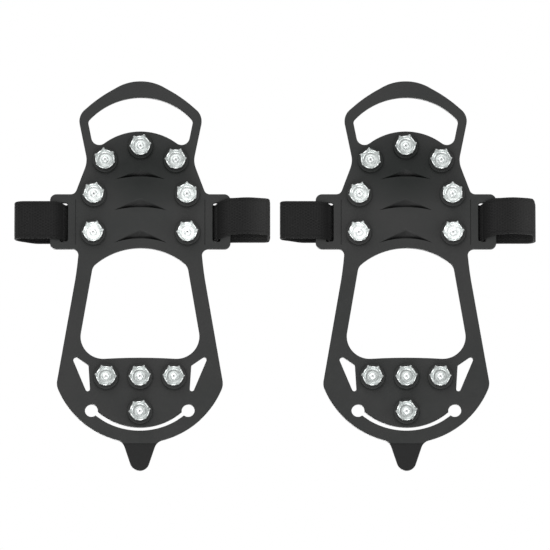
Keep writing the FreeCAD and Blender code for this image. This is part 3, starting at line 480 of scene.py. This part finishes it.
def crown_mesh():
    """A stamped crown with a sunk disc, a rolled bend and six folded teeth, centred on its own axis."""
    teeth, steps = 6, 20
    hole_r, disc_r, bend_r, tip_r = 1.75, 3.85, 4.2, 5.8
    thick, edge = 0.64, 0.09  # of the steel sheet, and how far its edges are softened
    top_z, valley_z, tip_z = BOSS_Z - 0.4, 3.0, 0.03
    wall_z = top_z - 0.10  # where the rolled bend ends
    tip_half, valley_half = 0.05, 0.18  # shares of a tooth's pitch that are flat
    point, flare_bow = 2.6, 0.52  # how far the teeth and the flare of the wall are curved
    sunk_r, sunk_half, sunk_deep = 2.9, 0.7, 0.06  # the ring pressed into the disc
    ridge_high, ridge_half = 0.15, 0.4  # the ridge down the middle of each tooth
    rows_disc, rows_wall = 7, 10
    bm = bmesh.new()
    grid = []
    for i in range(teeth * steps):
        turn = 2 * math.pi * i / (teeth * steps)
        share = (i % steps) / steps  # 0 at a tooth's middle, 0.5 in a gap's middle
        off = min(share, 1 - share) * 2  # 0 at the middle of the tooth, 1 in the gap
        drop = (1 - min(max((off - tip_half) / (1 - tip_half - valley_half), 0), 1)) ** point
        edge_z = valley_z + (tip_z - valley_z) * drop
        column = []
        for k in range(rows_disc):
            r = hole_r + (disc_r - hole_r) * k / (rows_disc - 1)
            column.append((r, top_z + sunk_deep * math.exp(-((r - sunk_r) / sunk_half) ** 2)))
        for k in range(1, rows_wall + 1):
            z = wall_z + (edge_z - wall_z) * k / rows_wall
            down = (top_z - z) / top_z
            flare = bend_r + (tip_r - bend_r) * down ** flare_bow
            ridge = ridge_high * max(0.0, 1 - off / ridge_half) * min(1, down * 1.5)
            column.append((flare + ridge, z))
        grid.append([
            bm.verts.new((r * math.cos(turn) * MM, r * math.sin(turn) * MM, z * MM)) for r, z in column])
    count = len(grid)
    for i in range(count):
        a, b = grid[i], grid[(i + 1) % count]
        for k in range(len(a) - 1):
            bm.faces.new((a[k], a[k + 1], b[k + 1], b[k]))
    bmesh.ops.recalc_face_normals(bm, faces=bm.faces)
    return thickened(made_mesh(bm, "crown_sheet"), thick, edge, "crown_shell")


def thickened(mesh, thick, edge, name):
    """The sheet with a real thickness and softened edges (in millimetres), as a finished mesh."""
    ob = bpy.data.objects.new("thick_helper", mesh)
    scene.collection.objects.link(ob)
    solid = ob.modifiers.new("sheet", "SOLIDIFY")
    solid.thickness = thick * MM
    solid.offset = 0
    solid.use_even_offset = True
    soft = ob.modifiers.new("soft", "BEVEL")
    soft.width = edge * MM
    soft.segments = 2
    soft.limit_method = "ANGLE"
    soft.angle_limit = math.radians(50)
    bpy.context.view_layer.update()
    done = bpy.data.meshes.new_from_object(ob.evaluated_get(bpy.context.evaluated_depsgraph_get()))
    done.name = name
    bpy.data.objects.remove(ob)
    done.polygons.foreach_set("use_smooth", [True] * len(done.polygons))
    done.set_sharp_from_angle(angle=math.radians(42))
    return done


def crowns(side, outward, shell):
    """One crown on every boss, turned as in TURNS."""
    names = {"plus": "outer", "minus": "inner"} if outward > 0 else {"plus": "inner", "minus": "outer"}
    for place, turn in TURNS.items():
        zone, _, end = place.partition("_")
        end = names.get(end, end)
        node = f"{side}_crown_{zone}_{end}"
        low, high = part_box(node)
        ob = new_object(f"{side}_stud_{zone}_{end}", shell, CROWN_STEEL, "crown_steel")
        axis = Vector(((low.x + high.x) / 2, (low.y + high.y) / 2, 0))
        ob.matrix_world = Matrix.Translation(axis) @ Matrix.Rotation(math.radians(turn), 4, "Z")
        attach(ob, "soles")
        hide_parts(node)


def fasteners(side):
    """The rivets and, under their ends on the foot face, the backing washers."""
    boxes = [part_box(node) for node in frame["nodes"] if node.startswith(f"{side}_crown_")]
    axes = [Vector(((low.x + high.x) / 2, (low.y + high.y) / 2)) for low, high in boxes]

    def mark_pits(bm):
        """The hollow in each rivet's head is marked, so that painted shade can darken it."""
        pit = bm.verts.layers.float.new("pit")
        for v in bm.verts:
            far = min((v.co.xy - axis).length for axis in axes)
            v[pit] = max(0.0, 1 - far / (PIT_R * MM)) if v.co.z < BOSS_Z * MM else 0.0

    for node, name in (("rivets", "rivet_heads"), ("backing_washers", "washers")):
        ob = cad_copy(f"{side}_{node}", f"{side}_{name}", RIVET_STEEL, "rivet_steel", mark_pits)
        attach(ob, "soles")
        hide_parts(f"{side}_{node}")


# ---- straps -------------------------------------------------------------------------------------


def fold_of(side_x, wing_z):
    """Radius and centre of the fold at one end of the strap."""
    radius = (wing_z - UNDER_Z) / 2
    return radius, REACH[side_x] - STRAP_THICK / 2 - radius


def arc_points(centre_x, centre_z, radius, start, end):
    """Points of an arc about 0.1 mm apart, both ends included."""
    count = max(8, int(abs(end - start) * radius / 0.1))
    return [
        (centre_x + radius * math.cos(start + (end - start) * i / count),
         centre_z + radius * math.sin(start + (end - start) * i / count))
        for i in range(count + 1)
    ]


def lobe_line(side_x, wing_z):
    """One lobe's middle line (x, z) from the seam on its fold to where it lies on the tab, for +X."""
    radius, centre = fold_of(side_x, wing_z)
    steep_x = DIVE_X + DIVE_R * math.sin(DIVE_ANGLE)
    rise = DIVE_R * (1 - math.cos(DIVE_ANGLE))
    low_x = steep_x + (RUN_Z - UNDER_Z - 2 * rise) / math.tan(DIVE_ANGLE)
    end_x = low_x + DIVE_R * math.sin(DIVE_ANGLE)
    quarter = math.pi / 2
    line = arc_points(centre, UNDER_Z + radius, radius, SEAM_ANGLE, -quarter)
    line += arc_points(end_x, UNDER_Z + DIVE_R, DIVE_R, -quarter, -quarter - DIVE_ANGLE)
    line += arc_points(DIVE_X, RUN_Z - DIVE_R, DIVE_R, quarter - DIVE_ANGLE, quarter)
    return line


def evenly(line, step):
    """The same line with points an even step apart, and the distance of each along it."""
    points = np.array(line, float)
    keep = np.r_[True, np.linalg.norm(np.diff(points, axis=0), axis=1) > 1e-6]
    points = points[keep]
    far = np.r_[0, np.cumsum(np.linalg.norm(np.diff(points, axis=0), axis=1))]
    count = int(round(far[-1] / step)) + 1
    at = np.linspace(0, far[-1], count)
    return np.c_[np.interp(at, far, points[:, 0]), np.interp(at, far, points[:, 1])], at


def section_places(half):
    """Places across the webbing, close together at the selvages."""
    edge = [half - e for e in (0, 0.05, 0.17, 0.38, 0.7, 1.2, 1.55, SELVAGE_IN, 2.05, 2.5)]
    middle = list(np.linspace(half - 3.2, -(half - 3.2), 14))
    return edge + middle + [-e for e in reversed(edge)]


def ribbon(name, line, shift, pinch, wear_and_shade):
    """A woven strap along a line (x, z) in millimetres, with ribs, selvage lines and rounded edges.

    shift, pinch and the last function take a point's place and say how far the strap lies towards the toe,
    how much narrower it is on each side, and how rubbed it is; below 0 the last one gives painted shade.
    """
    points, far = evenly(line, STRAP_STEP)
    along = np.gradient(points, axis=0)
    along /= np.linalg.norm(along, axis=1)[:, None]
    normal = np.c_[-along[:, 1], along[:, 0]]
    half = STRAP_WIDE / 2
    places = section_places(half)
    round_r = STRAP_THICK / 2 - RIB_HIGH
    groove_deep, groove_half = 0.16, 0.22  # the groove along each selvage
    wave_high, wave_rate = 0.05, 0.41  # the slow waves of a strap that has been used
    bm = bmesh.new()
    weave = bm.verts.layers.float_vector.new("weave")
    rings = []
    for (x, z), (nx, nz), s in zip(points, normal, far):
        rib = RIB_HIGH * (0.5 + 0.5 * math.cos(2 * math.pi * s / RIB_PITCH))
        off, thin, rub_and_shade = shift(x, z), pinch(x, z), wear_and_shade(x, z)
        ring = []
        for face in (1, -1):  # round the section: the ends of the first face close the second
            for v in places if face > 0 else places[::-1][1:-1]:
                rim = max(0.0, abs(v) - (half - round_r))
                lift = math.sqrt(max(0.0, round_r ** 2 - rim ** 2))
                groove = groove_deep * math.exp(-((abs(v) - (half - SELVAGE_IN)) / groove_half) ** 2)
                share = lift / round_r
                wave = wave_high * math.sin(s * wave_rate + face) * share
                high = face * (lift + (rib - groove) * share) + wave
                y = STRAP_Y + off + v * (half - thin + RIB_OUT * rib) / half
                vert = bm.verts.new(((x + nx * high) * MM, y * MM, (z + nz * high) * MM))
                vert[weave] = (s, v, rub_and_shade)
                ring.append(vert)
        rings.append(ring)
    skin(bm, rings)
    bmesh.ops.recalc_face_normals(bm, faces=bm.faces)
    return new_object(name, made_mesh(bm, name, 60), WEBBING, "webbing")


def ease(low, high, value):
    """From 0 at low to 1 at high, with soft ends."""
    t = min(max((value - low) / (high - low), 0.0), 1.0)
    return t * t * (3 - 2 * t)


def placed(line, centre, side_x):
    """A line (x, z) drawn for the +X side, moved to that side of the cleat."""
    return [(centre + side_x * x, z) for x, z in line]


def strap(side, centre, outward):
    """The webbing: one band through both slots, and the two ends that close over the foot."""
    hook_side, loop_side = outward, -outward
    wing_z = {hook_side: HOOK_WING_Z, loop_side: LOOP_WING_Z}
    lobes = {s: lobe_line(s, wing_z[s]) for s in (1, -1)}

    def from_centre(x):
        """The side that a point is on, and its distance from the centre line."""
        return (1 if x > centre else -1), abs(x - centre)

    def near_end(side_x, far, zone):
        """From 0 to 1 over the last stretch of a lobe."""
        return max(0.0, far - (REACH[side_x] - zone)) / zone

    def shift(x, z):
        """How far it lies towards the toe: the two layers of a lobe are askew, and the slots hold them."""
        side_x, far = from_centre(x)
        lower = ease(12.0, 8.0, z)  # 1 in the layer nearer the ground, 0 in the one above it
        outside = ease(SLOT_X - 1, 51.5, far)
        slot = math.exp(-((far - SLOT_X) / 1.8) ** 2)
        if side_x < 0:
            lean, lean_above = 2.8 + 0.6 * math.sin(math.pi * ease(48.0, 74.0, far)), -0.6
        else:
            lean, lean_above = 1.0, -0.5 + 1.4 * ease(58.0, 71.0, far)
        return outside * (lean * lower + lean_above * (1 - lower)) - 0.55 * slot

    def pinch(x, z):
        """How much narrower it is on each side: where it folds, in the slots, and where it lies askew."""
        side_x, far = from_centre(x)
        fold = FOLD_PINCH[side_x] * near_end(side_x, far, 1.6) ** 3
        slot = 0.25 * math.exp(-((far - SLOT_X - 0.2) / 2.4) ** 2)
        return fold + slot + SKEW_PINCH[side_x] * ease(46.0, 56.0, far)

    def wear_and_shade(x, z):
        """Above 0 where it is rubbed, below 0 for painted shade where it lies in a slot."""
        side_x, far = from_centre(x)
        rubbed = near_end(side_x, far, 1.3) * FOLD_RUB[side_x] * (1 if z < 11 else 0.6)
        if side_x < 0:
            rubbed += 0.2 * ease(57.0, 73.0, far)
        # painted shade in and next to a slot, seen through it from the ground
        dark = ease(51.0, 44.5, far) * ease(38.0, 40.5, far) if z < 12 else 0.0
        return rubbed - dark

    whole = placed(lobes[-1], centre, -1) + placed(lobes[1], centre, 1)[::-1]
    base = ribbon(f"{side}_strap_webbing", whole, shift, pinch, wear_and_shade)
    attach(base, "soles")
    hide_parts(f"{side}_strap_base")

    for kind, side_x, end, node in (
        ("hook", hook_side, HOOK_END, f"{side}_hook_wing"),
        ("loop", loop_side, -LOOP_END, f"{side}_loop_wing"),
    ):
        radius, fold_x = fold_of(side_x, wing_z[side_x])
        line = arc_points(fold_x, UNDER_Z + radius, radius, SEAM_ANGLE, math.pi / 2)
        line.append((end, wing_z[side_x]))
        wing = ribbon(f"{side}_{kind}_strap_end", placed(line, centre, side_x), shift, pinch, wear_and_shade)
        seam_x = fold_x + radius * math.cos(SEAM_ANGLE)
        flat_x = fold_x - WING_BEND
        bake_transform(wing, "soles", node,
                 ((centre + side_x * seam_x) * MM, 0, 0), ((centre + side_x * flat_x) * MM, 0, 0))
        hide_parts(node)


# ---- patches and stitches -----------------------------------------------------------------------


def patch_base(name, x0, x1, low, high, napped, material, slot):
    """A strip of tape from low to high. Its napped face (0 below, 1 above) is uneven, with soft edges."""
    step, sunk, edge_drop = 0.5, 0.14, 0.22
    nx, ny = int(abs(x1 - x0) / step) + 1, int(PATCH_WIDE / step) + 1
    bm = bmesh.new()
    grids = []
    for level in (0, 1):
        grid = []
        for i in range(nx):
            row = []
            for j in range(ny):
                x = x0 + (x1 - x0) * i / (nx - 1)
                y = STRAP_Y + PATCH_WIDE * (j / (ny - 1) - 0.5)
                border = min(abs(x - x0), abs(x1 - x), PATCH_WIDE / 2 - abs(y - STRAP_Y))
                soft = min(border / step, 1)
                waves = 0.12 * noise.noise(Vector((x * 1.9, y * 1.9, 3.0)))
                fluff = 0.08 * noise.noise(Vector((x * 5.0, y * 5.0, 7.0)))
                z = low if level == 0 else high
                if level == napped:
                    z += (waves + fluff - sunk - edge_drop * (1 - soft)) * (1 if level else -1)
                row.append(bm.verts.new((x * MM, y * MM, z * MM)))
            grid.append(row)
        grids.append(grid)
    bottom, top = grids
    for grid in grids:
        for i in range(nx - 1):
            for j in range(ny - 1):
                bm.faces.new((grid[i][j], grid[i + 1][j], grid[i + 1][j + 1], grid[i][j + 1]))
    rim = [(i, 0) for i in range(nx)] + [(nx - 1, j) for j in range(1, ny)]
    rim += [(i, ny - 1) for i in range(nx - 2, -1, -1)] + [(0, j) for j in range(ny - 2, 0, -1)]
    for (i, j), (k, m) in zip(rim, rim[1:] + rim[:1]):
        bm.faces.new((bottom[i][j], bottom[k][m], top[k][m], top[i][j]))
    bmesh.ops.recalc_face_normals(bm, faces=bm.faces)
    return new_object(name, made_mesh(bm, name, 55), material, slot)


def tube(bm, points, radius, sides):
    """A thin closed thread through the points."""
    rings = []
    for i, p in enumerate(points):
        ahead = (points[min(i + 1, len(points) - 1)] - points[max(i - 1, 0)]).normalized()
        across = ahead.cross(Vector((0.31, 0.52, 0.79))).normalized()
        up = ahead.cross(across)
        thick = radius * (0.7 if i in (0, len(points) - 1) else 1.0)
        turns = [2 * math.pi * k / sides for k in range(sides)]
        rings.append([bm.verts.new(p + (across * math.cos(t) + up * math.sin(t)) * thick) for t in turns])
    skin(bm, rings)


def hook_thread(root, jog, up):
    """One small hook: it stands up from its root and bends over towards +X."""
    bend = [(0, -0.12), (0, 0.12), (0.05, 0.26), (0.2, 0.32), (0.33, 0.22)]
    return [root + Vector((a, 0.04 * jog.y, up * b)) for a, b in bend]


def loop_thread(root, jog, up):
    """One small loop: a half ellipse, turned by its own jog."""
    wide, high, swing = 0.42, 0.30, 3.0 * jog.x
    return [
        root + Vector((wide * math.cos(swing) * math.cos(t), wide * math.sin(swing) * math.cos(t),
                       up * (high * math.sin(t) - 0.05)))
        for t in np.linspace(0, math.pi, 6)
    ]


NAPS = {  # the thread's shape, the pitch, how far the roots stray along X and Y, and the thread's radius
    "hook": (hook_thread, 1.15, 0.2, 0.1, 0.09),
    "loop": (loop_thread, 1.5, 0.7, 0.7, 0.055),
}


def nap_piece(name, x0, x1, face_z, up, kind, material, slot, body):
    """The hooks or loops that stand on a patch, as one mesh of many small threads."""
    shape, pitch, stray_x, stray_y, radius = NAPS[kind]
    bare = 1  # width of the border with no threads
    bm = bmesh.new()
    for i in range(int(abs(x1 - x0 - 2 * bare) / pitch)):
        for j in range(int((PATCH_WIDE - 2 * bare) / pitch)):
            jog_x = noise.noise(Vector((i * 1.7, j * 2.3, 1.0)))
            jog_y = noise.noise(Vector((i * 2.9, j * 1.3, 5.0)))
            jog = Vector((jog_x, jog_y, 0))
            x = x0 + bare + (i + 0.5) * pitch + stray_x * jog.x
            y = STRAP_Y - PATCH_WIDE / 2 + bare + (j + 0.5) * pitch + stray_y * jog.y
            points = shape(Vector((x, y, face_z)), jog, up)
            tube(bm, [p * MM for p in points], radius * MM, 4)
    ob = new_object(name, made_mesh(bm, name), material, slot)
    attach(ob, body)


def stitches(name, x0, x1, face_z, up, body, node=None):
    """A box of raised stitches, each dipping into the webbing at both ends."""
    long, step, inset = 2.0, 3.0, 1.2
    radius, rise, sunk = 0.2, 0.30, 0.16  # sunk is how deep a stitch's ends lie in the webbing
    end_out = 0.25  # how far the rows across the strap lie outside the ends of the other two
    half = PATCH_WIDE / 2 - inset
    x0, x1 = x0 + inset, x1 - inset
    bm = bmesh.new()

    def stitch(a, b):
        a, b = Vector(a), Vector(b)
        points = [a.lerp(b, t) + Vector((0, 0, up * rise * math.sin(math.pi * t) ** 0.6 - up * sunk))
                  for t in (0.0, 0.1, 0.28, 0.5, 0.72, 0.9, 1.0)]
        tube(bm, [p * MM for p in points], radius * MM, 8)

    for y in (STRAP_Y - half, STRAP_Y + half):
        for i in range(int((x1 - x0 - long) / step) + 1):
            stitch((x0 + i * step, y, face_z), (x0 + i * step + long, y, face_z))
    for x in (x0 - end_out, x1 + end_out):
        for i in range(1, int((2 * half - long) / step) + 1):
            y = STRAP_Y - half + i * step
            stitch((x, y - long / 2, face_z), (x, y + long / 2, face_z))
    ob = new_object(name, made_mesh(bm, name), THREAD, "thread")
    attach(ob, body)
    if node:
        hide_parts(node)


def patches(side, centre, outward):
    """The two patches that face each other between the strap's ends, with their threads and stitches."""
    hook = sorted(centre + outward * x for x in HOOK_PATCH)
    loop = sorted(centre + outward * x for x in LOOP_PATCH)
    hook_top = HOOK_WING_Z - STRAP_THICK / 2
    hook_low = hook_top - PATCH_THICK
    loop_low = LOOP_WING_Z + STRAP_THICK / 2
    loop_top = loop_low + PATCH_THICK
    hook_nap, hook_root = 0.3, 0.42  # how far the tape's face and the hooks' roots lie above hook_low
    loop_nap, loop_root = 0.2, 0.36  # the same for the loops, below loop_top
    ob = patch_base(f"{side}_hook_tape", *hook, hook_low + hook_nap, hook_top, 0, HOOK_TAPE, "hook_tape")
    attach(ob, f"{side}_hook_wing")
    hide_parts(f"{side}_hook_patch")
    nap_piece(f"{side}_hooks", *hook, hook_low + hook_root, -1, "hook", HOOK_TAPE, "hook_tape",
              f"{side}_hook_wing")
    ob = patch_base(f"{side}_loop_tape", *loop, loop_low, loop_top - loop_nap, 1, LOOP_TAPE, "loop_tape")
    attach(ob, f"{side}_loop_wing")
    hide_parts(f"{side}_loop_patch")
    nap_piece(f"{side}_loops", *loop, loop_top - loop_root, 1, "loop", LOOP_TAPE, "loop_tape",
              f"{side}_loop_wing")
    stitches(f"{side}_hook_stitches", *hook, HOOK_WING_Z + STRAP_THICK / 2, 1, f"{side}_hook_wing",
             f"{side}_hook_stitching")
    stitches(f"{side}_loop_stitches", *loop, LOOP_WING_Z - STRAP_THICK / 2, -1, f"{side}_loop_wing")


# ---- build --------------------------------------------------------------------------------------

shell = crown_mesh()
for side, (centre, outward) in CLEATS.items():
    moulding(side)
    crowns(side, outward, shell)
    fasteners(side)
    strap(side, centre, outward)
    patches(side, centre, outward)


# ---- floor, light and camera --------------------------------------------------------------------


def floor():
    """A pale floor under the teeth. It has a top side only, so that the studs can be seen from below."""
    mesh = bpy.data.meshes.new("floor")
    half = 40.0
    corners = [(-half, -half, 0), (half, -half, 0), (half, half, 0), (-half, half, 0)]
    mesh.from_pydata(corners, [], [(0, 1, 2, 3)])
    material = bpy.data.materials.new("floor")
    material.use_nodes = True
    tree = material.node_tree
    tree.nodes.clear()
    out = tree.nodes.new("ShaderNodeOutputMaterial")
    pale = tree.nodes.new("ShaderNodeBsdfDiffuse")
    pale.inputs["Color"].default_value = (0.62, 0.62, 0.61, 1)
    clear = tree.nodes.new("ShaderNodeBsdfTransparent")
    which = tree.nodes.new("ShaderNodeNewGeometry")
    mix = tree.nodes.new("ShaderNodeMixShader")
    tree.links.new(which.outputs["Backfacing"], mix.inputs[0])
    tree.links.new(pale.outputs[0], mix.inputs[1])
    tree.links.new(clear.outputs[0], mix.inputs[2])
    tree.links.new(mix.outputs[0], out.inputs["Surface"])
    mesh.materials.append(material)
    ob = bpy.data.objects.new("floor", mesh)
    scene.collection.objects.link(ob)
    ob.visible_shadow = False
    ob.visible_diffuse = False
    ob.visible_glossy = False


def world():
    """White to the camera. It lights the object from all round, but less from straight below."""
    low_light, side_light = 0.40, 0.65
    made = bpy.data.worlds.new("studio")
    scene.world = made
    made.use_nodes = True
    tree = made.node_tree
    tree.nodes.clear()
    add = tree.nodes.new
    out = add("ShaderNodeOutputWorld")
    at = add("ShaderNodeTexCoord")
    parts = add("ShaderNodeSeparateXYZ")
    tree.links.new(at.outputs["Generated"], parts.inputs[0])
    ramp = add("ShaderNodeMapRange")
    ramp.inputs["From Min"].default_value = -1.0
    ramp.inputs["From Max"].default_value = -0.55
    ramp.inputs["To Min"].default_value = low_light
    ramp.inputs["To Max"].default_value = side_light
    tree.links.new(parts.outputs["Z"], ramp.inputs["Value"])
    light = add("ShaderNodeBackground")
    light.inputs["Color"].default_value = (1, 1, 1, 1)
    tree.links.new(ramp.outputs["Result"], light.inputs["Strength"])
    seen = add("ShaderNodeBackground")
    seen.inputs["Color"].default_value = (1, 1, 1, 1)
    seen.inputs["Strength"].default_value = 1.0
    path = add("ShaderNodeLightPath")
    mix = add("ShaderNodeMixShader")
    tree.links.new(path.outputs["Is Camera Ray"], mix.inputs[0])
    tree.links.new(light.outputs[0], mix.inputs[1])
    tree.links.new(seen.outputs[0], mix.inputs[2])
    tree.links.new(mix.outputs[0], out.inputs["Surface"])


def softbox(name, place, size, power):
    """A rectangular light, seen only by what it lights, that faces the middle of the pair."""
    lamp = bpy.data.lights.new(name, "AREA")
    lamp.shape = "RECTANGLE"
    lamp.size, lamp.size_y = size
    lamp.energy = power
    ob = bpy.data.objects.new(name, lamp)
    scene.collection.objects.link(ob)
    ob.location = place
    ob.rotation_euler = (-Vector(place)).to_track_quat("-Z", "Y").to_euler()
    ob.visible_camera = False


def sunlight(name, towards, strength, spread):
    """Even light from above. Its spread, in degrees, keeps the shadows soft."""
    lamp = bpy.data.lights.new(name, "SUN")
    lamp.energy, lamp.angle = strength, math.radians(spread)
    ob = bpy.data.objects.new(name, lamp)
    scene.collection.objects.link(ob)
    ob.rotation_euler = Vector(towards).to_track_quat("-Z", "Y").to_euler()


def camera():
    """Looks up at the studs, ten degrees from square on, with a long lens."""
    tilt, lens = math.radians(10), 600.0
    view_wide = 0.3135  # metres, across the middle of the pair
    look = Vector((0, math.sin(tilt), math.cos(tilt)))
    up = Vector((0, math.cos(tilt), -math.sin(tilt)))
    right = look.cross(up)
    data = bpy.data.cameras.new("camera")
    data.lens, data.sensor_width = lens, 36.0
    away = view_wide * lens / data.sensor_width
    ob = bpy.data.objects.new("camera", data)
    scene.collection.objects.link(ob)
    place = Vector((0, 0, GROUND_Z * MM)) - look * away
    ob.matrix_world = Matrix((
        (right.x, up.x, -look.x, place.x),
        (right.y, up.y, -look.y, place.y),
        (right.z, up.z, -look.z, place.z),
        (0, 0, 0, 1),
    ))
    scene.camera = ob


floor()
world()
softbox("key_from_toe", (0.30, 0.62, -0.92), (1.3, 1.2), 10.0)
softbox("heel_fill", (0.1, -0.7, -0.6), (0.6, 0.6), 5.4)
softbox("side_fill", (-0.8, -0.1, -0.5), (0.5, 0.5), 3.0)
sunlight("top_soft", (-0.5, 0.5, -1.1), 3.2, 35)
camera()
scene.view_settings.view_transform = "Standard"
